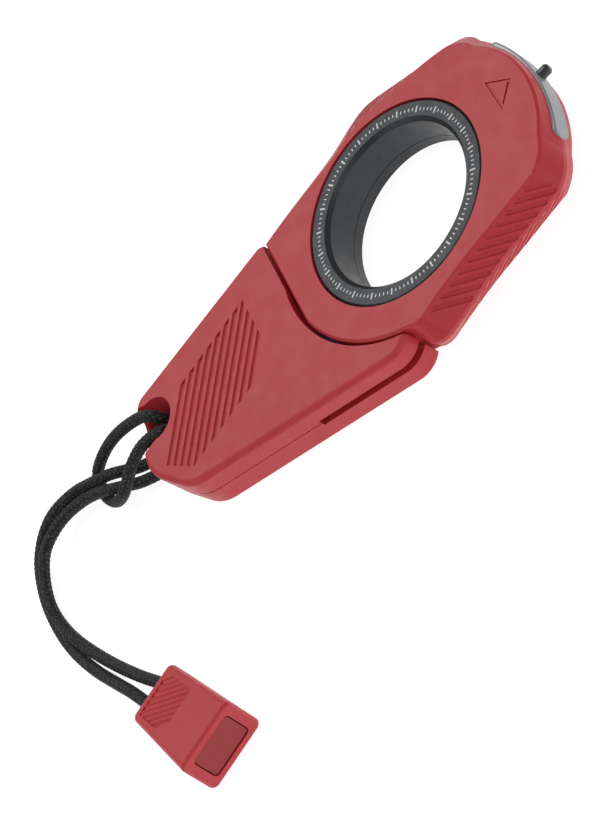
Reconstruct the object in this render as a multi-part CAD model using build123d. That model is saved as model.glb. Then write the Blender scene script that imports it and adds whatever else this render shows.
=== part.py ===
from build123d import *
import math
import os

# Palm-size rescue saw: a finger-ring handle with a saw and belt-cutter blade,
# kept in a pull-off sheath that carries a cord and a pull toggle.
# Millimetres, +Z up.  The tool lies on its back on z = 0.  The origin is the
# centre of the finger ring's bore at the resting plane.  +X points along the
# tool to the glass-breaker tip, +Y to the side away from the belt-cutter slot.

os.makedirs("parts", exist_ok=True)

# ------------------------------------------------------------ main dimensions
THICK = 14.4            # handle and sheath thickness
MID = THICK / 2         # parting plane of both pairs of shells
RING_BORE_R = 24.0      # finger hole
RING_FLANGE_R = 30.0
RING_TOP = 14.2         # front flange face
RING_TUBE_R = 27.4
RING_SPIGOT_R = 28.4
HEAD_HOLE_R = 28.6      # hole through the head shells, between the flanges
HEAD_POCKET_R = 30.35   # counterbore that each flange sits in
FLANGE_T = 3.0
HEAD_ARC_R = 40.2       # tail edge of the head, round the ring
SHEATH_ARC_R = 41.3     # mouth edge of the sheath, round the ring
HEAD_TAIL_X = -39.5
SHEATH_MOUTH_X = -40.6
CAP_Z0, CAP_Z1 = 4.4, 10.4
CAP_FAR, CAP_NEAR = 21.0, 23.0     # reach of the strike cap to each side
TIP_R = 1.6
TIP_END_X = 54.3
CORE_Z0, CORE_Z1 = 6.2, 8.2
BLADE_Z0, BLADE_Z1 = 6.4, 8.0
CAVITY_Z0, CAVITY_Z1 = 6.0, 8.4    # blade channel and side slot in the sheath
SLOT_END_X = -53.0
SHEATH_FILLET = 2.0     # front edges
SHEATH_BACK_FILLET = 0.8
SEAM, SEAM_H = 0.25, 0.15   # fine line where the sheath's shells meet, each side of the parting plane
MOUTH_TRIM = 1.4
HOLE_C = (-95.5, 10.5)  # cord hole in the sheath's tail
HOLE_THROAT_R = 4.9
HOLE_TOP_R = 6.8
CORD_D = 3.5
SCREW_HEAD_R, SCREW_HEAD_H = 2.1, 1.6
SCREW_R = 1.0
SCREW_Z0 = 1.4          # underside of a screw head's recess floor is at z0 + head
SCREW_LEN = 8.2
INSERT_R, INSERT_H = 1.7, 2.9


def save(shape, name):
    export_step(shape, "parts/%s.step" % name)
    try:
        v = shape.volume
    except Exception:
        v = float("nan")
    b = shape.bounding_box()
    print("%-22s vol %9.1f  x %7.2f %7.2f  y %7.2f %7.2f  z %6.2f %6.2f" % (
        name, v, b.min.X, b.max.X, b.min.Y, b.max.Y, b.min.Z, b.max.Z))


def zcyl(x, y, r, z0, z1):
    return Pos(x, y, (z0 + z1) / 2) * Cylinder(r, z1 - z0)


def zcone(x, y, r0, r1, z0, z1):
    return Pos(x, y, (z0 + z1) / 2) * Cone(r0, r1, z1 - z0)


def box(x0, x1, y0, y1, z0, z1):
    return Pos((x0 + x1) / 2, (y0 + y1) / 2, (z0 + z1) / 2) * Box(x1 - x0, y1 - y0, z1 - z0)


def prism(points, z0, z1):
    f = Face(Wire(Polyline(*[(x, y, z0) for x, y in points], close=True).edges()))
    return extrude(f, z1 - z0, dir=(0, 0, 1))


def arc_y(r, x):
    # y of the lower half of a circle of radius r round the ring's axis
    return -math.sqrt(r * r - x * x)


# ------------------------------------------------------------ head outline
# Pairs of points: widest outline at the parting plane, and the outline of the
# flat face.  Between them the flank is a bevel of about 45 degrees.
FAR_MID = [(HEAD_TAIL_X, 34.5), (-20, 37.7), (-10, 39.6), (-1, 42.3), (4, 43.0), (10, 41.9), (20, 38.8), (30, 36.0), (36.0, 34.0)]
FAR_TOP = [(HEAD_TAIL_X, 27.0), (-20, 29.8), (-10, 31.2), (-1, 33.0), (4, 33.5), (10, 33.2), (20, 31.7), (30, 29.9), (35.8, 28.2)]
NEAR_MID = [(38.0, -35.3), (30, -36.45), (20, -37.5), (10, -39.15), (0, -41.65), (-8.0, -43.5)]
NEAR_TOP = [(37.2, -31.4), (30, -32.3), (20, -33.7), (10, -34.9), (0, -36.7), (-8.0, -38.5)]
# corners beside the tip end: two points on the far side, then two on the near side
CORNER_MID = [(39.6, 32.2), (42.7, 26.7), (45.0, -26.0), (42.0, -32.0)]
CORNER_TOP = [(39.2, 25.8), (42.0, 20.8), (44.0, -22.6), (41.1, -28.0)]
LAND = 0.6              # half height of the upright land at the parting plane
RIM = 0.6               # height of the small slope round the flat face
END_MID = (50.7, 0.0)
END_TOP = (50.0, 0.0)
TAIL_MID = [(-12.6, -42.4), (-14.9, arc_y(HEAD_ARC_R, -14.9))]
TAIL_TOP = [(-12.2, -38.9), (-14.9, arc_y(HEAD_ARC_R, -14.9))]


def head_wire(far, corner, end, near, tail, z, inset=0.0):
    def q(p):
        # move a point towards the ring by the inset
        if inset == 0.0:
            return (p[0], p[1], z)
        d = math.hypot(p[0] - 4, p[1])
        k = (d - inset) / d
        return (4 + (p[0] - 4) * k, p[1] * k, z)

    r = HEAD_ARC_R - inset
    x_tail = HEAD_TAIL_X + inset
    y_join = -math.sqrt(r * r - x_tail * x_tail)
    arc_start = (-14.9 + 0.3 * inset, -math.sqrt(r * r - (14.9 - 0.3 * inset) ** 2), z)
    t_mid = math.radians(215)
    far_q = [q(p) for p in far]
    far_q[0] = (x_tail, far[0][1] - inset, z)
    e = []
    e += Spline(*far_q).edges()
    e += ThreePointArc(far_q[-1], q(corner[0]), q(corner[1])).edges()
    e += ThreePointArc(q(corner[1]), q(end), q(corner[2])).edges()
    near_q = [q(p) for p in near]
    e += ThreePointArc(q(corner[2]), q(corner[3]), near_q[0]).edges()
    e += Spline(*near_q).edges()
    e += ThreePointArc(near_q[-1], q(tail[0]), arc_start).edges()
    e += ThreePointArc(arc_start, (r * math.cos(t_mid), r * math.sin(t_mid), z), (x_tail, y_join, z)).edges()
    e += Line((x_tail, y_join, z), far_q[0]).edges()
    return Wire(e)


def head_block():
    # upper half: a short upright land, the bevel, and a small rounded rim
    w0 = head_wire(FAR_MID, CORNER_MID, END_MID, NEAR_MID, TAIL_MID, MID)
    w1 = head_wire(FAR_MID, CORNER_MID, END_MID, NEAR_MID, TAIL_MID, MID + LAND)
    w2 = head_wire(FAR_TOP, CORNER_TOP, END_TOP, NEAR_TOP, TAIL_TOP, THICK - RIM)
    w3 = head_wire(FAR_TOP, CORNER_TOP, END_TOP, NEAR_TOP, TAIL_TOP, THICK, 0.7)
    return Solid.make_loft([w0, w1, w2, w3], ruled=True)


# ------------------------------------------------------------ grip grooves
GROOVE_PITCH = 3.87
GROOVE_COUNT = 11
GROOVE_X0 = 32.4        # start of the groove nearest the tip
GROOVE_RUN = 10.3       # shift along the tool that a groove would have across the whole bevel
GROOVE_FROM, GROOVE_TO = 0.10, 0.93   # part of the bevel that each groove crosses
GROOVE_R = 0.76
GROOVE_DEPTH = 0.52


def interp(points, x):
    pts = sorted(points)
    for (xa, ya), (xb, yb) in zip(pts, pts[1:]):
        if xa <= x <= xb:
            return ya + (yb - ya) * (x - xa) / (xb - xa)
    return pts[0][1] if x < pts[0][0] else pts[-1][1]


def groove_cutters():
    z_top, z_mid = THICK - RIM, MID + LAND
    cut = []
    for mid_pts, top_pts in ((FAR_MID, FAR_TOP), (NEAR_MID, NEAR_TOP)):
        def on_bevel(x, f):
            return Vector(x, interp(top_pts, x) * (1 - f) + interp(mid_pts, x) * f, z_top * (1 - f) + z_mid * f)
        for i in range(GROOVE_COUNT):
            xs = GROOVE_X0 - i * GROOVE_PITCH
            a = on_bevel(xs, GROOVE_FROM)
            b = on_bevel(xs + GROOVE_RUN * (GROOVE_TO - GROOVE_FROM), GROOVE_TO)
            d = (b - a).normalized()
            xc = (a.X + b.X) / 2
            # outward normal of the bevel
            along = on_bevel(xc + 1, 0.7) - on_bevel(xc - 1, 0.7)
            n = along.cross(on_bevel(xc, 1.0) - on_bevel(xc, 0.0)).normalized()
            if n.Z < 0:
                n = n * -1
            lift = GROOVE_R - GROOVE_DEPTH
            p0 = a + n * lift
            p1 = b + n * lift
            mid = (p0 + p1) * 0.5
            cut.append(Plane(origin=(mid.X, mid.Y, mid.Z), z_dir=(d.X, d.Y, d.Z)) * Cylinder(GROOVE_R, (p1 - p0).length))
            # rounded ends of the groove
            cut.append(Pos(p0.X, p0.Y, p0.Z) * Sphere(GROOVE_R))
            cut.append(Pos(p1.X, p1.Y, p1.Z) * Sphere(GROOVE_R))
    return cut


# ------------------------------------------------------------ strike cap shape
def cap_shape(grow=0.0):
    # band across the tip end, following the end's curve, with rounded ends
    far, near = CAP_FAR + grow, -CAP_NEAR - grow
    xo, xf, xn = 51.1 + grow, 46.0 + grow, 46.75 + grow        # outer face: middle, far end, near end
    xi, xif, xin = 46.0 - grow, 40.9 - grow, 41.75 - grow      # inner face
    outer = ThreePointArc((xn, near, 0), (xo, 0, 0), (xf, far, 0))
    inner = ThreePointArc((xif, far, 0), (xi, 0, 0), (xin, near, 0))
    w = Wire(outer.edges() + Line((xf, far, 0), (xif, far, 0)).edges() + inner.edges() + Line((xin, near, 0), (xn, near, 0)).edges())
    band = extrude(Face(w), 30, dir=(0, 0, 1))
    band = Pos(0, 0, -5) * band
    z0, z1 = CAP_Z0 - grow, CAP_Z1 + grow
    zr = (z1 - z0) / 2
    zc = (z0 + z1) / 2
    profile = (
        box(30, 60, near + zr, far - zr, z0, z1)
        + Pos(45, far - zr, zc) * Rot(0, 90, 0) * Cylinder(zr, 30)
        + Pos(45, near + zr, zc) * Rot(0, 90, 0) * Cylinder(zr, 30)
    )
    return band & profile


# ------------------------------------------------------------ screw places
HEAD_SCREWS = [(35.5, 20.5), (35.5, -20.5), (-33.6, 23.0), (-22.0, -28.2)]
SHEATH_SCREWS = [(-47.0, 24.2), (-88.5, 17.2), (-87.0, -14.8), (-62.5, -24.2)]
BLADE_PINS = [(-34.8, 11.6), (-35.3, -3.5), (-30.2, -20.2)]
PIN_R = 1.25
CAP_PINS = [(47.0, 11.0), (47.0, -11.0)]
CAP_PIN_R = 1.0


def screw(x, y):
    head = zcyl(x, y, SCREW_HEAD_R, SCREW_Z0, SCREW_Z0 + SCREW_HEAD_H)
    shank = zcyl(x, y, SCREW_R, SCREW_Z0 + SCREW_HEAD_H, SCREW_Z0 + SCREW_HEAD_H + SCREW_LEN)
    s = head + shank
    socket = extrude(Pos(x, y, SCREW_Z0) * RegularPolygon(1.0, 6), 0.9, dir=(0, 0, 1))
    return s - socket


def screw_hole(x, y):
    # recess for the head, and the clearance hole above it
    return (zcyl(x, y, SCREW_HEAD_R + 0.15, -1, SCREW_Z0 + SCREW_HEAD_H)
            + zcyl(x, y, SCREW_R + 0.12, SCREW_Z0, SCREW_Z0 + SCREW_HEAD_H + SCREW_LEN + 0.4))


INSERT_Z0 = SCREW_Z0 + SCREW_HEAD_H + SCREW_LEN - INSERT_H   # just above the core plate


def insert(x, y):
    return zcyl(x, y, INSERT_R, INSERT_Z0, INSERT_Z0 + INSERT_H) - zcyl(x, y, SCREW_R + 0.03, INSERT_Z0 - 1, INSERT_Z0 + INSERT_H + 1)


def insert_hole(x, y):
    return zcyl(x, y, INSERT_R, MID - 0.5, INSERT_Z0 + INSERT_H)


# ------------------------------------------------------------ core plate and blade
# The steel core plate follows the head's outline 5 mm inside it.
CORE_PTS = [(-30.0, 27.5), (-18, 31.5), (-6, 34.5), (4, 36.0), (12, 34.6), (24, 32.2), (34, 29.0), (39.0, 24.0), (41.0, 17.0), (41.0, -17.0),
            (39.0, -24.0), (34, -29.0), (24, -32.6), (12, -35.0), (2, -37.6), (-7, -38.2), (-12.5, -35.6)]
CORE_HOLE_R = 29.0
# tail edge of the core plate, and the blade's tang that butts against it
TANG_PTS_FAR = (-30.0, 27.5)


def blade_outline():
    # clockwise from the tang's far corner: back edge with saw teeth, point,
    # belt-cutter hook on the near edge, tang round the ring
    pts = [(-31.2, 20.0), (-37.5, 20.0), (-41.5, 17.2)]
    # saw teeth along the far edge
    x = -43.0
    n = 13
    pitch = 2.8
    y0, y1 = 16.6, 13.2
    for i in range(n):
        xa = x - i * pitch
        f = i / n
        yb = y0 + (y1 - y0) * f
        pts.append((xa, yb))
        pts.append((xa - 1.15, yb - 2.2))
        pts.append((xa - 1.75, yb - 2.2))
    pts.append((x - n * pitch, y1))
    pts += [(-82.6, 10.0), (-84.0, 5.0), (-82.0, -1.5), (-77.0, -6.5)]
    # near edge: straight back, then the hook's mouth
    pts += [(-66.0, -11.0), (-57.5, -14.2)]
    pts += [(-54.0, -15.2), (-50.5, -12.0), (-47.2, -9.6), (-45.0, -9.4), (-44.6, -11.6), (-46.6, -14.4), (-48.4, -17.6), (-47.8, -20.4)]
    pts += [(-44.5, -22.4), (-40.0, -22.8), (-33.6, -26.0), (-24.6, -32.0)]
    # tang's inner edge, round the ring
    r = 29.2
    for a in (232, 222, 212, 202, 192, 182, 172, 162, 152):
        pts.append((r * math.cos(math.radians(a)), r * math.sin(math.radians(a))))
    pts.append((-28.4, 20.0))
    return pts


# ------------------------------------------------------------ build: handle
def build_handle():
    upper = head_block()
    ring_cut = zcyl(0, 0, HEAD_HOLE_R, -1, THICK + 1)
    pocket_top = zcyl(0, 0, HEAD_POCKET_R, RING_TOP - FLANGE_T - 0.4, THICK + 1)
    pocket_bot = zcyl(0, 0, HEAD_POCKET_R, -1, FLANGE_T)

    # pocket for the core plate and the blade's tang, open at the tail edge
    core_pocket = prism([(HEAD_TAIL_X - 3, 20.4), (-38.0, 20.4), (-30.6, 28.1)] + [(x * 1.008, y * 1.01) for x, y in CORE_PTS[1:]]
                        + [(-24.4, -32.6), (-33.8, -26.5), (HEAD_TAIL_X - 3, -23.4)], CORE_Z0 - 0.0, CORE_Z1)
    cutters = groove_cutters()
    top = upper
    for c in cutters:
        top = top - c
    bottom = mirror(top, about=Plane.XY.offset(MID))

    cap_pocket = cap_shape(0.08)
    # arrow-shaped mark on the front face, pointing to the tip
    tri_o = prism([(39.3, 6.2), (39.3, -6.2), (46.0, 0)], THICK - 0.45, THICK + 1)
    tri_i = prism([(40.3, 4.5), (40.3, -4.5), (44.8, 0)], THICK - 1, THICK + 2)
    mark = tri_o - tri_i

    top = top - ring_cut - pocket_top - core_pocket - cap_pocket - mark
    bottom = bottom - ring_cut - pocket_bot - core_pocket - cap_pocket
    for x, y in HEAD_SCREWS:
        bottom = bottom - screw_hole(x, y)
        top = top - screw_hole(x, y) - insert_hole(x, y)
    for x, y in BLADE_PINS:
        h = zcyl(x, y, PIN_R, 4.2, 10.2)
        top = top - h
        bottom = bottom - h
    for x, y in CAP_PINS:
        h = zcyl(x, y, CAP_PIN_R, 2.6, 11.8)
        top = top - h
        bottom = bottom - h
    save(top, "head_shell_top")
    save(bottom, "head_shell_bottom")

    # steel core plate
    core = prism(CORE_PTS, CORE_Z0, CORE_Z1)
    core = core - zcyl(0, 0, CORE_HOLE_R, 0, 20)
    # its tail is open, where the blade's tang sits
    core = core - prism([(-29.9, 30.0), (-29.9, 20.3), (-20, 20.3), (-20, 20), (-10, -30), (-24.2, -31.0), (-12.0, -40), (-50, -40), (-50, 30)], 0, 20)
    core = core - cap_shape(0.08)
    for x, y in HEAD_SCREWS:
        core = core - zcyl(x, y, SCREW_R + 0.3, 0, 20)
    cs = sorted(core.solids(), key=lambda s: -s.volume)
    core = cs[0]
    save(core, "core_plate")

    # saw blade with its belt-cutter hook
    blade = prism(blade_outline(), BLADE_Z0, BLADE_Z1)
    for x, y in BLADE_PINS:
        blade = blade - zcyl(x, y, PIN_R, 0, 20)
    # keep the tang clear of the two tail screws
    for x, y in HEAD_SCREWS[2:]:
        blade = blade - zcyl(x, y, SCREW_R + 0.5, 0, 20)
    # the razor insert sits in a notch across the hook
    notch = prism(INSERT_NOTCH, 0, 20)
    blade = blade - notch
    bs = sorted(blade.solids(), key=lambda s: -s.volume)
    blade = bs[0]
    save(blade, "saw_blade")

    razor = prism(INSERT_NOTCH, BLADE_Z0 + 0.3, BLADE_Z1 - 0.3)
    for x, y in RAZOR_RIVETS:
        razor = razor - zcyl(x, y, 0.8, 0, 20)
    save(razor, "belt_cutter_razor")
    rivets = [zcyl(x, y, 0.8, BLADE_Z0 + 0.05, BLADE_Z1 - 0.05) for x, y in RAZOR_RIVETS]
    save(Compound(children=rivets), "razor_rivets")

    pins = [zcyl(x, y, PIN_R, 4.2, 10.2) for x, y in BLADE_PINS]
    save(Compound(children=pins), "blade_pins")

    # finger ring: two flanged halves that clamp the shells between them
    front = zcyl(0, 0, RING_TUBE_R, FLANGE_T + 0.5, RING_TOP) + zcyl(0, 0, RING_FLANGE_R, RING_TOP - FLANGE_T, RING_TOP)
    front = front - zcyl(0, 0, RING_BORE_R, -1, 20)
    front = front - zcone(0, 0, RING_BORE_R - 0.0, RING_BORE_R + 1.2, RING_TOP - 1.2, RING_TOP + 0.0)
    rim = front.edges().filter_by(GeomType.CIRCLE).filter_by(lambda e: abs(e.radius - RING_FLANGE_R) < 0.01 and abs(e.center().Z - RING_TOP) < 0.01)
    front = chamfer(rim, 0.5)
    save(front, "ring_front")
    back = zcyl(0, 0, RING_FLANGE_R, 0, FLANGE_T) + zcyl(0, 0, RING_SPIGOT_R, 0, 9.0)
    back = back - zcyl(0, 0, RING_BORE_R, -1, 20) - zcyl(0, 0, RING_TUBE_R + 0.05, FLANGE_T + 0.3, 20)
    save(back, "ring_back")
    gasket = zcyl(0, 0, RING_FLANGE_R, RING_TOP - FLANGE_T - 0.4, RING_TOP - FLANGE_T) - zcyl(0, 0, HEAD_HOLE_R, 0, 20)
    save(gasket, "ring_gasket")

    # strike cap with a blind hole for the tip
    cap = cap_shape(0.0)
    cap = cap - (Pos(49.5, 0, MID) * Rot(0, 90, 0) * Cylinder(TIP_R, 5.5))
    for x, y in CAP_PINS:
        cap = cap - zcyl(x, y, CAP_PIN_R, 0, 20)
    try:
        es = cap.edges().filter_by(lambda e: e.center().X > 46.8 and abs(e.center().Y) > 3 or (e.length > 30 and e.center().X > 48))
        cap = fillet(es, 0.6)
    except Exception as ex:
        print("cap fillet skipped", ex)
    save(cap, "strike_cap")
    pins = [zcyl(x, y, CAP_PIN_R, 2.6, 11.8) for x, y in CAP_PINS]
    save(Compound(children=pins), "cap_pins")

    # carbide tip: a plain pin with a stepped, chamfered nose
    tip = Pos((46.75 + TIP_END_X - 0.7) / 2, 0, MID) * Rot(0, 90, 0) * Cylinder(TIP_R, TIP_END_X - 0.7 - 46.75)
    nose = Pos(TIP_END_X - 0.35, 0, MID) * Rot(0, 90, 0) * Cone(TIP_R, TIP_R - 0.6, 0.7)
    tip = tip + nose
    save(tip, "glass_breaker_tip")

    scr = [screw(x, y) for x, y in HEAD_SCREWS]
    save(Compound(children=scr), "head_screws")
    ins = [insert(x, y) for x, y in HEAD_SCREWS]
    save(Compound(children=ins), "head_inserts")


INSERT_NOTCH = [(-54.2, -13.4), (-50.5, -9.8), (-46.8, -7.4), (-43.4, -7.2), (-42.0, -4.6), (-47.0, -3.6), (-52.6, -6.2), (-56.6, -10.6)]
RAZOR_RIVETS = [(-51.6, -8.4), (-46.0, -5.6)]

# ------------------------------------------------------------ sheath outline
FAR_SLOPE = (29.1 - 21.2) / (99.3 - 40.6)


def sheath_wire(z, ext=0.0):
    # corner points of the outline, and the radius at each
    near_u = (0.957, -0.29)
    mouth_x, arc_r = SHEATH_MOUTH_X + ext, SHEATH_ARC_R - ext
    a = (mouth_x, 29.1)
    b = (-99.3, 21.2)
    v1 = (-105.0, -3.0)
    v2 = (-94.35, -19.5)
    v3 = (v2[0] + near_u[0] * 84.4, v2[1] + near_u[1] * 84.4)
    ear = (-16.1 + 0.5 * ext, arc_y(arc_r, -16.1 + 0.5 * ext))
    P3 = lambda p: (p[0], p[1], z)
    pts = [(mouth_x, 10.0), a, b, v1, v2, v3]
    radii = [3.6, 5.0, 14.0, 13.0]
    e = []
    prev = pts[0]
    for i, r in enumerate(radii):
        p0, p1, p2 = pts[i], pts[i + 1], pts[i + 2]
        d0 = Vector(p1[0] - p0[0], p1[1] - p0[1], 0).normalized()
        d1 = Vector(p2[0] - p1[0], p2[1] - p1[1], 0).normalized()
        half = math.acos(max(-1, min(1, d0.dot(d1)))) / 2
        k = r * math.tan(half)
        s0 = (p1[0] - d0.X * k, p1[1] - d0.Y * k)
        s1 = (p1[0] + d1.X * k, p1[1] + d1.Y * k)
        e += Line(P3(prev), P3(s0)).edges()
        e += TangentArc(P3(s0), P3(s1), tangent=(d0.X, d0.Y, 0)).edges()
        prev = s1
    near_end = (v3[0] - near_u[0] * 11.5, v3[1] - near_u[1] * 11.5)
    e += Line(P3(prev), P3(near_end)).edges()
    e += TangentArc(P3(near_end), P3(ear), tangent=(near_u[0], near_u[1], 0)).edges()
    y_join = -math.sqrt(arc_r ** 2 - mouth_x ** 2)
    g = math.radians(214)
    e += ThreePointArc(P3(ear), (arc_r * math.cos(g), arc_r * math.sin(g), z), (mouth_x, y_join, z)).edges()
    e += Line((mouth_x, y_join, z), P3(pts[0])).edges()
    return Wire(e)


# blade channel: open at the mouth, and through the near wall as far as SLOT_END_X
CHANNEL = [(0.0, 19.4), (SHEATH_MOUTH_X, 19.4), (-85.4, 15.4), (-87.0, 13.6), (-87.0, -6.4), (-85.6, -8.2), (SLOT_END_X - 1.0, -18.6), (SLOT_END_X, -19.4),
           (SLOT_END_X, -60.0), (0.0, -60.0)]
LINER = [(-43.0, 18.6), (-85.0, 14.8), (-86.2, 13.2), (-86.2, -6.0), (-84.9, -7.6), (SLOT_END_X - 1.3, -17.7), (-43.0, -17.7)]
LINER_T = 0.6

SHEATH_GROOVE_ANGLE = 51.5
SHEATH_GROOVE_PITCH = 2.74
SHEATH_GROOVE_W = 1.25
SHEATH_GROOVE_DEPTH = 0.7
SHEATH_GROOVE_COUNT = 15


def sheath_groove_cutters():
    region = prism([(-53.6, 17.6), (-83.6, 12.0), (-98.2, -6.4), (-90.0, -15.0), (-53.6, -7.6)], THICK - 2, THICK + 2)
    a = math.radians(SHEATH_GROOVE_ANGLE)
    d = (math.cos(a), math.sin(a))
    nrm = (math.sin(a), -math.cos(a))
    out = []
    # the first groove lies nearest the mouth
    for i in range(SHEATH_GROOVE_COUNT):
        s = -SHEATH_GROOVE_PITCH * i
        cx = -58.4 + nrm[0] * s
        cy = -2.6 + nrm[1] * s
        bar = Pos(cx - d[0] * 4, cy - d[1] * 4, THICK + 0.15) * Rot(0, 0, SHEATH_GROOVE_ANGLE) * Rot(0, 90, 0) * Cylinder(SHEATH_GROOVE_DEPTH + 0.15, 60)
        out.append(bar & region)
    return out


def build_sheath():
    # the edges are rounded on a blank a little longer than the sheath, and the
    # mouth is then cut back, so its own edge stays crisper than the others
    blanks = []
    for radius in (SHEATH_FILLET, SHEATH_BACK_FILLET):
        shell = extrude(Face(sheath_wire(MID + SEAM_H, MOUTH_TRIM)), THICK - MID - SEAM_H, dir=(0, 0, 1))
        loop = shell.edges().filter_by(lambda e: abs(e.center().Z - THICK) < 1e-3 and abs(e.bounding_box().min.Z - THICK) < 1e-3)
        shell = fillet(loop, radius)
        # the joining faces stand in a little, which leaves the seam
        joint = offset(Face(sheath_wire(MID, MOUTH_TRIM)), -SEAM, kind=Kind.INTERSECTION)
        shell = shell + extrude(joint, SEAM_H, dir=(0, 0, 1))
        blanks.append(shell - box(SHEATH_MOUTH_X, 20, arc_y(SHEATH_ARC_R, SHEATH_MOUTH_X), 60, 0, 20) - zcyl(0, 0, SHEATH_ARC_R, 0, 20))
    front, back = blanks
    hx, hy = HOLE_C
    # saddle on the front face, from the cord hole out over the tail edge, wide
    # enough for the two legs of the hitch
    saddles = []
    for deg in (156, 176, 190):
        a = math.radians(deg)
        saddles.append(Pos(hx + math.cos(a) * 15, hy + math.sin(a) * 15, THICK + 2.7) * Rot(0, 0, deg) * Rot(0, 90, 0) * Cylinder(6.6, 30))
    dish = zcone(hx, hy, HOLE_THROAT_R, HOLE_TOP_R, THICK - 4.8, THICK + 0.001)
    throat = zcyl(hx, hy, HOLE_THROAT_R, -1, THICK + 1)
    # channel under the tail, where the cord's two ends lie
    uy = hy - 1.4
    half = 5.1
    under = box(hx - 22, hx, uy - half + 2.3, uy + half - 2.3, -1, 4.6) + box(hx - 22, hx, uy - half, uy + half, -1, 2.3)
    for sgn in (1, -1):
        under = under + Pos(hx - 11, uy + sgn * (half - 2.3), 2.3) * Rot(0, 90, 0) * Cylinder(2.3, 22)
    under_dish = zcone(hx, hy, HOLE_TOP_R, HOLE_THROAT_R, -0.001, 4.6)
    channel = prism(CHANNEL, CAVITY_Z0, CAVITY_Z1)
    liner_pocket = prism(LINER, CAVITY_Z0 - LINER_T, CAVITY_Z1 + LINER_T)
    for c in sheath_groove_cutters():
        front = front - c
        back = back - c
    top = front - channel - liner_pocket - throat - dish
    for c in saddles:
        top = top - c
    bottom = mirror(back, about=Plane.XY.offset(MID)) - channel - liner_pocket - throat - under - under_dish
    pads = []
    for z0, z1 in ((8.35, 9.6), (4.8, 6.05)):
        pads.append(box(-74.0, -62.0, 6.5, 11.0, z0, z1))
    pad_holes = [box(-74.0, -62.0, 6.5, 11.0, 8.0, 9.6), box(-74.0, -62.0, 6.5, 11.0, 4.8, 6.4)]
    for p in pad_holes:
        top = top - p
        bottom = bottom - p
    for x, y in SHEATH_SCREWS:
        bottom = bottom - screw_hole(x, y)
        top = top - screw_hole(x, y) - insert_hole(x, y)
    save(top, "sheath_shell_top")
    save(bottom, "sheath_shell_bottom")
    liners = []
    for z0, z1 in ((CAVITY_Z1, CAVITY_Z1 + LINER_T), (CAVITY_Z0 - LINER_T, CAVITY_Z0)):
        l = prism(LINER, z0, z1)
        for p in pad_holes:
            l = l - p
        liners.append(l)
    save(Compound(children=liners), "blade_guides")
    save(Compound(children=pads), "grip_pads")
    save(Compound(children=[screw(x, y) for x, y in SHEATH_SCREWS]), "sheath_screws")
    save(Compound(children=[insert(x, y) for x, y in SHEATH_SCREWS]), "sheath_inserts")


# ------------------------------------------------------------ pull toggle
# A tapered moulded body on the doubled cord's ends.  Its own frame: x from the
# cord end to the thick end, z across its thickness.
TOG_POS = (-135.168, -58.462, 5.22)
TOG_YAW, TOG_PITCH, TOG_ROLL = -67.33, 5.17, -7.0
TOG_L = 35.0
TOG_W0, TOG_W1 = 18.6, 21.8
TOG_H0, TOG_H1 = 8.4, 14.0
PLUG_W, PLUG_H, PLUG_D = 14.6, 8.8, 3.0
TOG_GROOVE_PITCH, TOG_GROOVE_R = 2.9, 0.85
CORD_END_X = 11.4       # the cord's ends stop here, against their knots
CORD_SIDE = 3.7          # each end of the cord lies this far from the toggle's centre line


def toggle_plane():
    a, b, g = (math.radians(v) for v in (TOG_YAW, TOG_PITCH, TOG_ROLL))
    u = Vector(math.cos(a) * math.cos(b), math.sin(a) * math.cos(b), math.sin(b))
    v0 = Vector(-math.sin(a), math.cos(a), 0)
    w0 = u.cross(v0)
    v = v0 * math.cos(g) + w0 * math.sin(g)
    w = u.cross(v)
    return Plane(origin=TOG_POS, x_dir=(u.X, u.Y, u.Z), z_dir=(w.X, w.Y, w.Z))


def rr(x, w, h, r):
    # rounded rectangle across the toggle at x
    f = Plane(origin=(x, 0, 0), x_dir=(0, 1, 0), z_dir=(1, 0, 0)) * RectangleRounded(w, h, r)
    return f.wires()[0]


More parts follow.
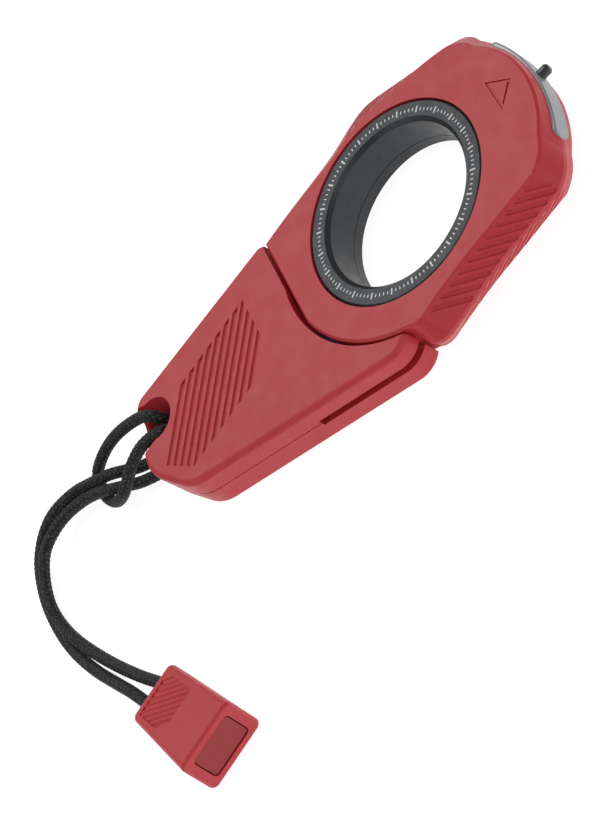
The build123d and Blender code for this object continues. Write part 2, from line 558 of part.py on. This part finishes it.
def build_toggle():
    pl = toggle_plane()
    body = Solid.make_loft([rr(0, TOG_W0 - 2.4, TOG_H0 - 2.4, 1.0), rr(0.5, TOG_W0 - 0.8, TOG_H0 - 1.0, 1.5), rr(1.6, TOG_W0, TOG_H0, 1.8),
                            rr(TOG_L - 0.8, TOG_W1, TOG_H1, 2.0), rr(TOG_L, TOG_W1 - 1.2, TOG_H1 - 1.2, 1.5)], ruled=True)
    # recess for the end plug, knot chamber, and the two cord bores
    recess = Pos(TOG_L, 0, 0) * (Solid.extrude(Face(rr(-PLUG_D, PLUG_W + 0.7, PLUG_H + 0.7, 1.35)), Vector(PLUG_D + 1, 0, 0)))
    chamber = box(CORD_END_X, TOG_L - PLUG_D - 1.2, -6.2, 6.2, -3.4, 3.4)
    plug_socket = box(TOG_L - PLUG_D - 1.3, TOG_L - PLUG_D + 0.1, -5.6, 5.6, -3.0, 3.0)
    body = body - recess - chamber - plug_socket
    for s in (1, -1):
        body = body - (Pos(CORD_END_X / 2, s * CORD_SIDE, 0) * Rot(0, 90, 0) * Cylinder(CORD_D / 2 + 0.06, CORD_END_X + 2))
        # rounded lead-in at the mouth of each bore
        body = body - (Pos(2.4, s * CORD_SIDE, 0) * Rot(0, -90, 0) * Cone(CORD_D / 2 + 0.06, 2.45, 5.2))
    # grip grooves across both faces near the cord end
    slope = math.degrees(math.atan2((TOG_H1 - TOG_H0) / 2, TOG_L))
    for face in (1, -1):
        region = box(2.8, 17.4, -7.0, 7.0, -20, 20)
        for i in range(9):
            x = -1.8 + i * TOG_GROOVE_PITCH
            # the groove runs at 36 degrees to the axis, on the sloping face
            L = 40
            bar = Rot(0, 0, 36) * Rot(0, 90, 0) * Cylinder(TOG_GROOVE_R, L)
            bar = Rot(0, -face * slope, 0) * bar
            bar = Pos(x, 0, face * (TOG_H0 / 2 + x * (TOG_H1 - TOG_H0) / 2 / TOG_L) + face * 0.24) * bar
            body = body - (bar & region)
    plug = Solid.extrude(Face(rr(TOG_L - PLUG_D, PLUG_W, PLUG_H, 1.0)), Vector(PLUG_D - 0.35, 0, 0))
    peg = box(TOG_L - PLUG_D - 1.2, TOG_L - PLUG_D, -5.6, 5.6, -3.0, 3.0)
    plug = plug + peg
    knots = []
    for s in (1, -1):
        k = Pos(CORD_END_X + 2.9, s * 3.05, 0) * Rot(0, 90, 0) * Cylinder(2.85, 5.8)
        try:
            k = fillet(k.edges().filter_by(GeomType.CIRCLE), 1.2)
        except Exception as ex:
            print("knot fillet skipped", ex)
        knots.append(k)
    loc = pl.location
    save(loc * body, "toggle_body")
    save(loc * plug, "toggle_end_plug")
    save(loc * Compound(children=knots), "cord_end_knots")


# ------------------------------------------------------------ cord
# One braided cord.  It leaves the toggle, runs round to the sheath's tail, goes
# under the tail and up through its hole, out over the tail edge, round the
# doubled cord in a girth hitch, back over the edge, down the hole, and returns
# beside itself to the toggle.
CORD_ROUTE = [
    (-127.387, -67.561, 5.798), (-131.571, -57.544, 4.816), (-138.3, -48.3, 4.6), (-145.2, -37.1, 3.0),
    (-150.9, -26.5, 2.6), (-155.3, -16.4, 3.4), (-157.0, -8.4, 4.6), (-156.6, -1.9, 6.4),
    (-154.2, 6.2, 7.4), (-151.3, 13.0, 7.3), (-147.2, 17.1, 6.5), (-141.6, 20.5, 4.9),
    (-135.5, 20.2, 4.5), (-128.9, 17.2, 5.4), (-122.7, 12.1, 6.9), (-117.2, 9.0, 5.6),
    (-113.6, 8.1, 3.0), (-105.8, 6.0, 1.7), (-99.6, 6.4, 2.1), (-95.8, 7.4, 3.0),
    (-94.5, 8.3, 8.0), (-95.7, 6.1, 13.5), (-102.0, 7.0, 14.1), (-108.2, 6.8, 12.5),
    (-112.8, 5.0, 11.0), (-117.6, 4.0, 8.7), (-123.5, 8.5, 4.3), (-127.6, 15.8, 1.8),
    (-127.8, 21.6, 1.9), (-125.5, 23.6, 4.4), (-119.9, 21.7, 8.6), (-113.5, 20.6, 11.5),
    (-106.5, 18.4, 13.5), (-99.1, 15.4, 14.3), (-96.0, 12.6, 14.6), (-94.2, 11.4, 10.6), (-94.7, 12.9, 7.0),
    (-96.0, 12.8, 3.0), (-100.2, 12.0, 2.1), (-106.4, 12.0, 1.7), (-111.9, 12.9, 3.0),
    (-115.4, 13.8, 5.5), (-120.4, 16.6, 6.8), (-127.3, 20.4, 6.0), (-135.0, 24.3, 5.3),
    (-144.3, 24.5, 5.5), (-150.1, 21.4, 5.2), (-154.8, 16.5, 4.6), (-157.9, 10.5, 3.7),
    (-159.8, 2.2, 2.9), (-160.0, -7.3, 2.1), (-158.4, -17.7, 1.7), (-153.6, -30.4, 2.2),
    (-147.4, -41.9, 3.8), (-142.7, -50.5, 5.0), (-138.38, -60.299, 5.714), (-134.196, -70.316, 6.696),
]


def arc_radii(route):
    # each bend is as large as its two runs allow
    radii = []
    for p, q, r in zip(route, route[1:], route[2:]):
        a, b = Vector(*q) - Vector(*p), Vector(*r) - Vector(*q)
        turn = math.radians(a.get_angle(b))
        radii.append(0.45 * min(a.length, b.length) / math.tan(turn / 2))
    return radii


def build_cord():
    radii = arc_radii(CORD_ROUTE)
    print("cord bend radii:", " ".join("%.1f" % r for r in radii))
    path = FilletPolyline(*CORD_ROUTE, radius=radii)
    tube = sweep(Plane(origin=path @ 0, z_dir=path % 0) * Circle(CORD_D / 2), path=path)
    length = path.length
    print("cord length %.1f, volume %.1f, section x length %.1f" % (length, tube.volume, math.pi * CORD_D ** 2 / 4 * length))
    save(tube, "lanyard_cord")


if __name__ == "__main__":
    build_handle()
    build_sheath()
    build_toggle()
    build_cord()
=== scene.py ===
import math

import bpy
import numpy as np
from mathutils import Matrix, Vector


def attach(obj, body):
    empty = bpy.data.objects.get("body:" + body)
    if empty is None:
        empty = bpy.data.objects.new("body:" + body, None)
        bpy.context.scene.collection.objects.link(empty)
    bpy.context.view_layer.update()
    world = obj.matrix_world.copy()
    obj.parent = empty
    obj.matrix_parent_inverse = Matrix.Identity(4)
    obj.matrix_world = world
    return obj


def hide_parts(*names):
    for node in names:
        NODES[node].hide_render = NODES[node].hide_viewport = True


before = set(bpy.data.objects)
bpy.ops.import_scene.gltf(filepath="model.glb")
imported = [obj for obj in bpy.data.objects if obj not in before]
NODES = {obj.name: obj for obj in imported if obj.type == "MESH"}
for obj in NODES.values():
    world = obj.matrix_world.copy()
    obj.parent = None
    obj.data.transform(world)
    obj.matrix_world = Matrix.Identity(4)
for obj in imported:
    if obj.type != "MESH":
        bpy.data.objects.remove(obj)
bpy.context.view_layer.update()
scene = bpy.context.scene
MM = 0.001

# ------------------------------------------------------------------ camera
ROT = Matrix(((0.65643939, -0.33459845, -0.67611478),
              (-0.68146711, -0.64742677, -0.34123474),
              (-0.3235582, 0.68474992, -0.65301428)))
SHIFT = Vector((25.19742356, -58.38986892, 803.8613574))
where = -(ROT.transposed() @ SHIFT) + Vector((0, 0, 14.2))
cam_data = bpy.data.cameras.new("camera")
cam_data.lens = 128.811
cam_data.sensor_width = 36.0
cam_data.clip_start = 0.01
cam_data.clip_end = 20.0
cam = bpy.data.objects.new("camera", cam_data)
scene.collection.objects.link(cam)
cols = (ROT[0], -ROT[1], -ROT[2])
cam.matrix_world = Matrix(((cols[0][0], cols[1][0], cols[2][0], where[0] * MM),
                           (cols[0][1], cols[1][1], cols[2][1], where[1] * MM),
                           (cols[0][2], cols[1][2], cols[2][2], where[2] * MM),
                           (0, 0, 0, 1)))
scene.camera = cam
scene.view_settings.view_transform = "Standard"
scene.view_settings.look = "None"


# ------------------------------------------------------------------ node helpers
def new_mat(name):
    m = bpy.data.materials.new(name)
    m.use_nodes = True
    nt = m.node_tree
    nt.nodes.clear()
    out = nt.nodes.new("ShaderNodeOutputMaterial")
    p = nt.nodes.new("ShaderNodeBsdfPrincipled")
    nt.links.new(p.outputs["BSDF"], out.inputs["Surface"])
    return m, nt, p


def coords(nt):
    return nt.nodes.new("ShaderNodeTexCoord").outputs["Object"]


def noise(nt, vec, scale, detail=3.0, rough=0.55):
    n = nt.nodes.new("ShaderNodeTexNoise")
    n.inputs["Scale"].default_value = scale
    n.inputs["Detail"].default_value = detail
    n.inputs["Roughness"].default_value = rough
    nt.links.new(vec, n.inputs["Vector"])
    return n.outputs["Fac"]


def math_node(nt, op, a, b=None, clamp=False):
    n = nt.nodes.new("ShaderNodeMath")
    n.operation = op
    n.use_clamp = clamp
    for i, v in enumerate((a, b)):
        if v is None:
            continue
        if isinstance(v, (int, float)):
            n.inputs[i].default_value = v
        else:
            nt.links.new(v, n.inputs[i])
    return n.outputs[0]


def remap(nt, v, lo, hi, a=0.0, b=1.0, smooth=False):
    n = nt.nodes.new("ShaderNodeMapRange")
    if smooth:
        n.interpolation_type = "SMOOTHSTEP"
    n.inputs["From Min"].default_value = lo
    n.inputs["From Max"].default_value = hi
    n.inputs["To Min"].default_value = a
    n.inputs["To Max"].default_value = b
    nt.links.new(v, n.inputs["Value"])
    return n.outputs["Result"]


def mix(nt, fac, a, b):
    n = nt.nodes.new("ShaderNodeMix")
    n.data_type = "RGBA"
    nt.links.new(fac, n.inputs["Factor"])
    for key, v in (("A", a), ("B", b)):
        s = [i for i in n.inputs if i.name == key and i.type == "RGBA"][0]
        if isinstance(v, tuple):
            s.default_value = (*v, 1)
        else:
            nt.links.new(v, s)
    return [o for o in n.outputs if o.type == "RGBA"][0]


def bump(nt, height, distance, strength, normal=None):
    n = nt.nodes.new("ShaderNodeBump")
    n.inputs["Strength"].default_value = strength
    n.inputs["Distance"].default_value = distance
    nt.links.new(height, n.inputs["Height"])
    if normal is not None:
        nt.links.new(normal, n.inputs["Normal"])
    return n.outputs["Normal"]


# ------------------------------------------------------------------ materials
def moulded(name, base, light, dark, rough=(0.42, 0.54), grain=2600.0, depth=0.000035, spec=0.5):
    # a moulded plastic with a fine spark-eroded grain and faint flow marks
    m, nt, p = new_mat(name)
    c = coords(nt)
    flow = noise(nt, c, 45.0, 3.0, 0.5)
    speck = noise(nt, c, grain * 0.8, 2.0, 0.7)
    body = mix(nt, remap(nt, flow, 0.3, 0.7), dark, base)
    body = mix(nt, remap(nt, speck, 0.52, 0.78), body, light)
    nt.links.new(body, p.inputs["Base Color"])
    nt.links.new(remap(nt, noise(nt, c, 180.0, 4.0), 0.3, 0.7, rough[0], rough[1]), p.inputs["Roughness"])
    p.inputs["Specular IOR Level"].default_value = spec
    fine = noise(nt, c, grain, 3.0, 0.65)
    n1 = bump(nt, fine, depth, 0.5)
    wave = noise(nt, c, 120.0, 2.0, 0.4)
    n2 = bump(nt, wave, 0.00006, 0.12, n1)
    nt.links.new(n2, p.inputs["Normal"])
    return m


RED = moulded("red_nylon", (0.545, 0.030, 0.041), (0.62, 0.046, 0.058), (0.515, 0.026, 0.036))
TOGGLE_RED = moulded("toggle_plastic", (0.58, 0.036, 0.048), (0.65, 0.052, 0.064), (0.55, 0.032, 0.043), rough=(0.40, 0.50), depth=0.000028)
PLUG_RED = moulded("plug_plastic", (0.37, 0.020, 0.025), (0.43, 0.03, 0.036), (0.34, 0.017, 0.022), rough=(0.40, 0.52), depth=0.00002)
NYLON = moulded("guide_nylon", (0.60, 0.58, 0.52), (0.68, 0.66, 0.60), (0.55, 0.53, 0.47), rough=(0.35, 0.5))
RUBBER = moulded("seal_rubber", (0.018, 0.018, 0.019), (0.03, 0.03, 0.031), (0.014, 0.014, 0.015), rough=(0.6, 0.78), spec=0.35)


def ring_metal(name, ticks):
    # dark anodised aluminium, turned: faint concentric marks round the bore's
    # axis, and on the front flange a printed band of plain dial ticks
    m, nt, p = new_mat(name)
    c = coords(nt)
    sep = nt.nodes.new("ShaderNodeSeparateXYZ")
    nt.links.new(c, sep.inputs[0])
    x, y, z = sep.outputs
    r = math_node(nt, "SQRT", math_node(nt, "ADD", math_node(nt, "MULTIPLY", x, x), math_node(nt, "MULTIPLY", y, y)))
    cloud = noise(nt, c, 90.0, 4.0)
    fine = noise(nt, c, 4200.0, 2.0, 0.7)
    body = mix(nt, remap(nt, cloud, 0.3, 0.7), (0.038, 0.040, 0.043), (0.047, 0.050, 0.053))
    body = mix(nt, remap(nt, fine, 0.5, 0.8), body, (0.085, 0.092, 0.10))
    metal_in = None
    if ticks:
        ang = math_node(nt, "ARCTAN2", y, x)

        def comb(count, width, r0, r1, phase=0.0):
            t = math_node(nt, "FRACT", math_node(nt, "ADD", math_node(nt, "MULTIPLY", ang, count / (2 * math.pi)), 100.5 + phase))
            off = math_node(nt, "ABSOLUTE", math_node(nt, "SUBTRACT", t, 0.5))
            half = width * count / (2 * math.pi * 0.0271) / 2
            a = remap(nt, off, half - 0.012, half + 0.012, 1.0, 0.0, True)
            b = math_node(nt, "MULTIPLY", math_node(nt, "GREATER_THAN", r, r0), math_node(nt, "LESS_THAN", r, r1))
            return math_node(nt, "MULTIPLY", a, b)

        small = comb(120, 0.00034, 0.0267, 0.0276)
        long = comb(24, 0.00045, 0.0262, 0.0281)
        mask = math_node(nt, "MAXIMUM", small, long)
        mask = math_node(nt, "MULTIPLY", mask, math_node(nt, "GREATER_THAN", z, 0.01412))
        wear = remap(nt, noise(nt, c, 1500.0, 3.0), 0.25, 0.45, 0.75, 1.0)
        mask = math_node(nt, "MULTIPLY", mask, wear)
        body = mix(nt, mask, body, (0.74, 0.75, 0.76))
        metal_in = math_node(nt, "MULTIPLY", math_node(nt, "SUBTRACT", 1.0, mask), 0.55)
    nt.links.new(body, p.inputs["Base Color"])
    if metal_in is not None:
        nt.links.new(metal_in, p.inputs["Metallic"])
    else:
        p.inputs["Metallic"].default_value = 0.55
    nt.links.new(remap(nt, noise(nt, c, 300.0, 3.0), 0.3, 0.7, 0.36, 0.48), p.inputs["Roughness"])
    turning = math_node(nt, "SINE", math_node(nt, "MULTIPLY", r, 2 * math.pi / 0.00022))
    height = math_node(nt, "ADD", math_node(nt, "MULTIPLY", turning, 0.35), fine)
    nt.links.new(bump(nt, height, 0.00001, 0.35), p.inputs["Normal"])
    return m


RING_FRONT = ring_metal("ring_anodised_front", True)
RING_BACK = ring_metal("ring_anodised_back", False)


def steel(name, base, light, rough, grain, depth, metallic=1.0, brush=None):
    m, nt, p = new_mat(name)
    c = coords(nt)
    cloud = noise(nt, c, 70.0, 4.0)
    body = mix(nt, remap(nt, cloud, 0.3, 0.7), base, light)
    nt.links.new(body, p.inputs["Base Color"])
    p.inputs["Metallic"].default_value = metallic
    nt.links.new(remap(nt, noise(nt, c, 400.0, 4.0), 0.3, 0.7, rough[0], rough[1]), p.inputs["Roughness"])
    vec = c
    if brush is not None:
        mp = nt.nodes.new("ShaderNodeMapping")
        mp.inputs["Scale"].default_value = brush
        nt.links.new(c, mp.inputs["Vector"])
        vec = mp.outputs["Vector"]
    fine = noise(nt, vec, grain, 3.0, 0.7)
    nt.links.new(bump(nt, fine, depth, 0.55), p.inputs["Normal"])
    return m


CAP_STEEL = steel("blasted_steel", (0.33, 0.345, 0.355), (0.39, 0.405, 0.415), (0.44, 0.56), 3800.0, 0.00003)
CARBIDE = steel("dark_carbide", (0.075, 0.075, 0.08), (0.11, 0.11, 0.115), (0.30, 0.42), 2500.0, 0.00002, 0.85)
BLADE_STEEL = steel("ground_steel", (0.52, 0.53, 0.54), (0.60, 0.61, 0.62), (0.26, 0.38), 900.0, 0.000012, 1.0, (1.0, 14.0, 1.0))
BLADE_COATED = steel("coated_blade", (0.020, 0.020, 0.022), (0.032, 0.032, 0.034), (0.42, 0.54), 2200.0, 0.000012, 0.6)
PLATE_STEEL = steel("plate_steel", (0.42, 0.43, 0.44), (0.5, 0.51, 0.52), (0.4, 0.5), 1500.0, 0.00001)
SCREW_STEEL = steel("black_oxide", (0.035, 0.035, 0.038), (0.06, 0.06, 0.063), (0.38, 0.5), 3000.0, 0.00001, 0.9)
BRASS = steel("turned_brass", (0.62, 0.43, 0.16), (0.70, 0.50, 0.21), (0.28, 0.4), 3000.0, 0.00001)


def cord_cloth(name, braided):
    # black braided yarn with painted light: painted highlight flecks where the strands ride high, painted shade in the
    # valleys between them
    m, nt, p = new_mat(name)
    c = coords(nt)
    fibre = noise(nt, c, 3800.0, 3.0, 0.75)
    fleck = noise(nt, c, 1100.0, 2.0, 0.6)
    if braided:
        a = nt.nodes.new("ShaderNodeAttribute")
        a.attribute_name = "lift"
        lift = a.outputs["Fac"]
    else:
        lift = noise(nt, c, 900.0, 2.0)
    # mask from the strand lift: drives the painted shade in the valleys and the painted highlight flecks on the crowns
    painted_shade_glint_mask = remap(nt, lift, 0.35, 1.0, 0.0, 1.0)
    # painted highlight: light flecks masked to the high strand crowns
    painted_glint = math_node(nt, "MULTIPLY", painted_shade_glint_mask, remap(nt, fleck, 0.42, 0.66, 0.0, 1.0))
    body = mix(nt, remap(nt, fibre, 0.35, 0.7), (0.0042, 0.0042, 0.0046), (0.011, 0.011, 0.012))
    # painted shade: near-black colour in the valleys where the strand lift is low
    body = mix(nt, painted_shade_glint_mask, (0.0018, 0.0018, 0.002), body)
    body = mix(nt, math_node(nt, "MULTIPLY", painted_glint, 0.85), body, (0.105, 0.107, 0.111))
    nt.links.new(body, p.inputs["Base Color"])
    nt.links.new(remap(nt, fibre, 0.3, 0.7, 0.55, 0.8), p.inputs["Roughness"])
    p.inputs["Specular IOR Level"].default_value = 0.4
    p.inputs["Sheen Weight"].default_value = 0.06
    p.inputs["Sheen Roughness"].default_value = 0.4
    nt.links.new(bump(nt, fibre, 0.00008, 0.6), p.inputs["Normal"])
    return m


CORD = cord_cloth("braided_cord", True)
KNOT = cord_cloth("knot_cord", False)

LOOK = {
    "head_shell_top": RED, "head_shell_bottom": RED, "sheath_shell_top": RED, "sheath_shell_bottom": RED,
    "core_plate": PLATE_STEEL, "saw_blade": BLADE_COATED, "belt_cutter_razor": BLADE_STEEL, "razor_rivets": PLATE_STEEL,
    "blade_pins": PLATE_STEEL, "ring_front": RING_FRONT, "ring_back": RING_BACK, "ring_gasket": RUBBER,
    "strike_cap": CAP_STEEL, "cap_pins": PLATE_STEEL, "glass_breaker_tip": CARBIDE, "head_screws": SCREW_STEEL,
    "head_inserts": BRASS, "blade_guides": NYLON, "grip_pads": RUBBER, "sheath_screws": SCREW_STEEL,
    "sheath_inserts": BRASS, "toggle_body": TOGGLE_RED, "toggle_end_plug": PLUG_RED, "cord_end_knots": KNOT,
    "lanyard_cord": KNOT,
}
for n, o in NODES.items():
    o.data.materials.clear()
    o.data.materials.append(LOOK[n])

# ------------------------------------------------------------------ cord
CORD_D = 3.5
CORD_ROUTE = [
    (-0.127387, -0.067561, 0.005798), (-0.131571, -0.057544, 0.004816), (-0.138300, -0.048300, 0.004600), (-0.145200, -0.037100, 0.003000),
    (-0.150900, -0.026500, 0.002600), (-0.155300, -0.016400, 0.003400), (-0.157000, -0.008400, 0.004600), (-0.156600, -0.001900, 0.006400),
    (-0.154200, 0.006200, 0.007400), (-0.151300, 0.013000, 0.007300), (-0.147200, 0.017100, 0.006500), (-0.141600, 0.020500, 0.004900),
    (-0.135500, 0.020200, 0.004500), (-0.128900, 0.017200, 0.005400), (-0.122700, 0.012100, 0.006900), (-0.117200, 0.009000, 0.005600),
    (-0.113600, 0.008100, 0.003000), (-0.105800, 0.006000, 0.001700), (-0.099600, 0.006400, 0.002100), (-0.095800, 0.007400, 0.003000),
    (-0.094500, 0.008300, 0.008000), (-0.095700, 0.006100, 0.013500), (-0.102000, 0.007000, 0.014100), (-0.108200, 0.006800, 0.012500),
    (-0.112800, 0.005000, 0.011000), (-0.117600, 0.004000, 0.008700), (-0.123500, 0.008500, 0.004300), (-0.127600, 0.015800, 0.001800),
    (-0.127800, 0.021600, 0.001900), (-0.125500, 0.023600, 0.004400), (-0.119900, 0.021700, 0.008600), (-0.113500, 0.020600, 0.011500),
    (-0.106500, 0.018400, 0.013500), (-0.099100, 0.015400, 0.014300), (-0.096000, 0.012600, 0.014600), (-0.094200, 0.011400, 0.010600),
    (-0.094700, 0.012900, 0.007000), (-0.096000, 0.012800, 0.003000), (-0.100200, 0.012000, 0.002100), (-0.106400, 0.012000, 0.001700),
    (-0.111900, 0.012900, 0.003000), (-0.115400, 0.013800, 0.005500), (-0.120400, 0.016600, 0.006800), (-0.127300, 0.020400, 0.006000),
    (-0.135000, 0.024300, 0.005300), (-0.144300, 0.024500, 0.005500), (-0.150100, 0.021400, 0.005200), (-0.154800, 0.016500, 0.004600),
    (-0.157900, 0.010500, 0.003700), (-0.159800, 0.002200, 0.002900), (-0.160000, -0.007300, 0.002100), (-0.158400, -0.017700, 0.001700),
    (-0.153600, -0.030400, 0.002200), (-0.147400, -0.041900, 0.003800), (-0.142700, -0.050500, 0.005000), (-0.138380, -0.060299, 0.005714),
    (-0.134196, -0.070316, 0.006696),
]


def centreline():
    cu = bpy.data.curves.new("lanyard_route", "CURVE")
    cu.dimensions = "3D"
    cu.resolution_u = 24
    sp = cu.splines.new("NURBS")
    sp.points.add(len(CORD_ROUTE) - 1)
    for q, xyz in zip(sp.points, CORD_ROUTE):
        q.co = (*xyz, 1.0)
    sp.order_u = 3
    sp.use_endpoint_u = True
    ob = bpy.data.objects.new("lanyard_route", cu)
    scene.collection.objects.link(ob)
    bpy.context.view_layer.update()
    dg = bpy.context.evaluated_depsgraph_get()
    me = bpy.data.meshes.new_from_object(ob.evaluated_get(dg))
    line = np.array([v.co for v in me.vertices], float)
    bpy.data.objects.remove(ob)
    bpy.data.curves.remove(cu)
    bpy.data.meshes.remove(me)
    return line


def resample(line, step):
    d = np.r_[0, np.cumsum(np.linalg.norm(np.diff(line, axis=0), axis=1))]
    n = max(2, int(round(d[-1] / step)))
    s = np.linspace(0, d[-1], n + 1)
    return np.c_[[np.interp(s, d, line[:, k]) for k in range(3)]].T, s


def frames(p):
    t = np.gradient(p, axis=0)
    t /= np.linalg.norm(t, axis=1)[:, None]
    a = np.zeros_like(p)
    up = np.array([0, 0, 1.0])
    a[0] = up - t[0] * (up @ t[0])
    a[0] /= np.linalg.norm(a[0])
    for i in range(1, len(p)):
        v = a[i - 1] - t[i] * (a[i - 1] @ t[i])
        a[i] = v / np.linalg.norm(v)
    return t, a, np.cross(t, a)


AROUND = 60
LANES = 10              # strands each way round the cord
TURN = 0.0150           # length in which a strand goes once round
line = centreline()
pts, s = resample(line, 0.00020)
T, A, B = frames(pts)
theta = np.arange(AROUND) / AROUND * 2 * math.pi
U, V = np.meshgrid(np.arange(AROUND) / AROUND * LANES, s / TURN * LANES)
la, lb = U + V, U - V
ca, cb = np.floor(la), np.floor(lb)
fa, fb = la - ca, lb - cb
q = np.mod(ca + cb, 4)
over = q < 2
across = np.where(over, fa, fb)
along = np.where(over, (q + fb) / 2, (q - 2 + fa) / 2)
crown = np.sqrt(np.clip(1 - (2 * across - 1) ** 2, 0, 1))
lift = crown * (0.45 + 0.55 * np.sin(math.pi * np.clip(along, 0, 1)))
radius = (CORD_D / 2 - 0.16) * MM + 0.24 * MM * lift
P = pts[:, None, :] + radius[:, :, None] * (np.cos(theta)[None, :, None] * A[:, None, :] + np.sin(theta)[None, :, None] * B[:, None, :])
P[:, :, 2] = np.maximum(P[:, :, 2], 0.00004)
nr = len(pts)
verts = P.reshape(-1, 3)
i = np.arange(nr - 1)[:, None]
j = np.arange(AROUND)[None, :]
j2 = (j + 1) % AROUND
quads = np.stack([i * AROUND + j, i * AROUND + j2, (i + 1) * AROUND + j2, (i + 1) * AROUND + j], -1).reshape(-1, 4)
faces = quads.tolist()
c0, c1 = len(verts), len(verts) + 1
verts = np.r_[verts, pts[:1], pts[-1:]]
faces += [(c0, int(k2), int(k)) for k, k2 in zip(range(AROUND), (np.arange(AROUND) + 1) % AROUND)]
last = (nr - 1) * AROUND
faces += [(c1, int(last + k), int(last + k2)) for k, k2 in zip(range(AROUND), (np.arange(AROUND) + 1) % AROUND)]
me = bpy.data.meshes.new("braided_lanyard")
me.from_pydata(verts.tolist(), [], faces)
me.polygons.foreach_set("use_smooth", np.ones(len(me.polygons), bool))
at = me.attributes.new("lift", "FLOAT", "POINT")
at.data.foreach_set("value", np.r_[lift.reshape(-1), 0.5, 0.5].astype(np.float32))
me.update()
lanyard = bpy.data.objects.new("braided_lanyard", me)
scene.collection.objects.link(lanyard)
me.materials.append(CORD)
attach(lanyard, "sheath")
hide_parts("lanyard_cord")

# ------------------------------------------------------------------ stage and light
bpy.ops.mesh.primitive_plane_add(size=6.0, location=(0, 0, -0.00012))
floor = bpy.context.object
floor.name = "floor"
fm, fnt, fp = new_mat("pale_floor")
fc = coords(fnt)
fnt.links.new(mix(fnt, noise(fnt, fc, 3.0), (0.34, 0.34, 0.343), (0.37, 0.37, 0.373)), fp.inputs["Base Color"])
fp.inputs["Roughness"].default_value = 0.9
fp.inputs["Specular IOR Level"].default_value = 0.1
fp.inputs["Emission Color"].default_value = (1, 1, 1, 1)
fp.inputs["Emission Strength"].default_value = 0.88
floor.data.materials.append(fm)


def area(name, at, to, size, power, colour=(1, 1, 1), size_y=None):
    d = bpy.data.lights.new(name, "AREA")
    d.energy = power
    d.color = colour
    d.shape = "RECTANGLE"
    d.size = size
    d.size_y = size_y or size
    o = bpy.data.objects.new(name, d)
    scene.collection.objects.link(o)
    o.location = at
    o.rotation_euler = (Vector(to) - Vector(at)).to_track_quat("-Z", "Y").to_euler()
    return o


# the camera looks from azimuth -70 deg; the broad soft light hangs high and
# beyond the tool, so the flat faces carry a soft sheen
area("overhead", (-0.25, 0.75, 1.15), (-0.05, 0, 0), 1.3, 10.4)
area("fill_front", (0.55, -0.95, 0.75), (-0.05, 0, 0), 0.9, 3.6)
area("fill_left", (-1.05, -0.35, 0.65), (-0.05, 0, 0), 0.7, 1.6)

world = bpy.data.worlds.new("studio")
world.use_nodes = True
world.node_tree.nodes["Background"].inputs["Color"].default_value = (1.0, 1.0, 1.0, 1)
world.node_tree.nodes["Background"].inputs["Strength"].default_value = 0.22
scene.world = world
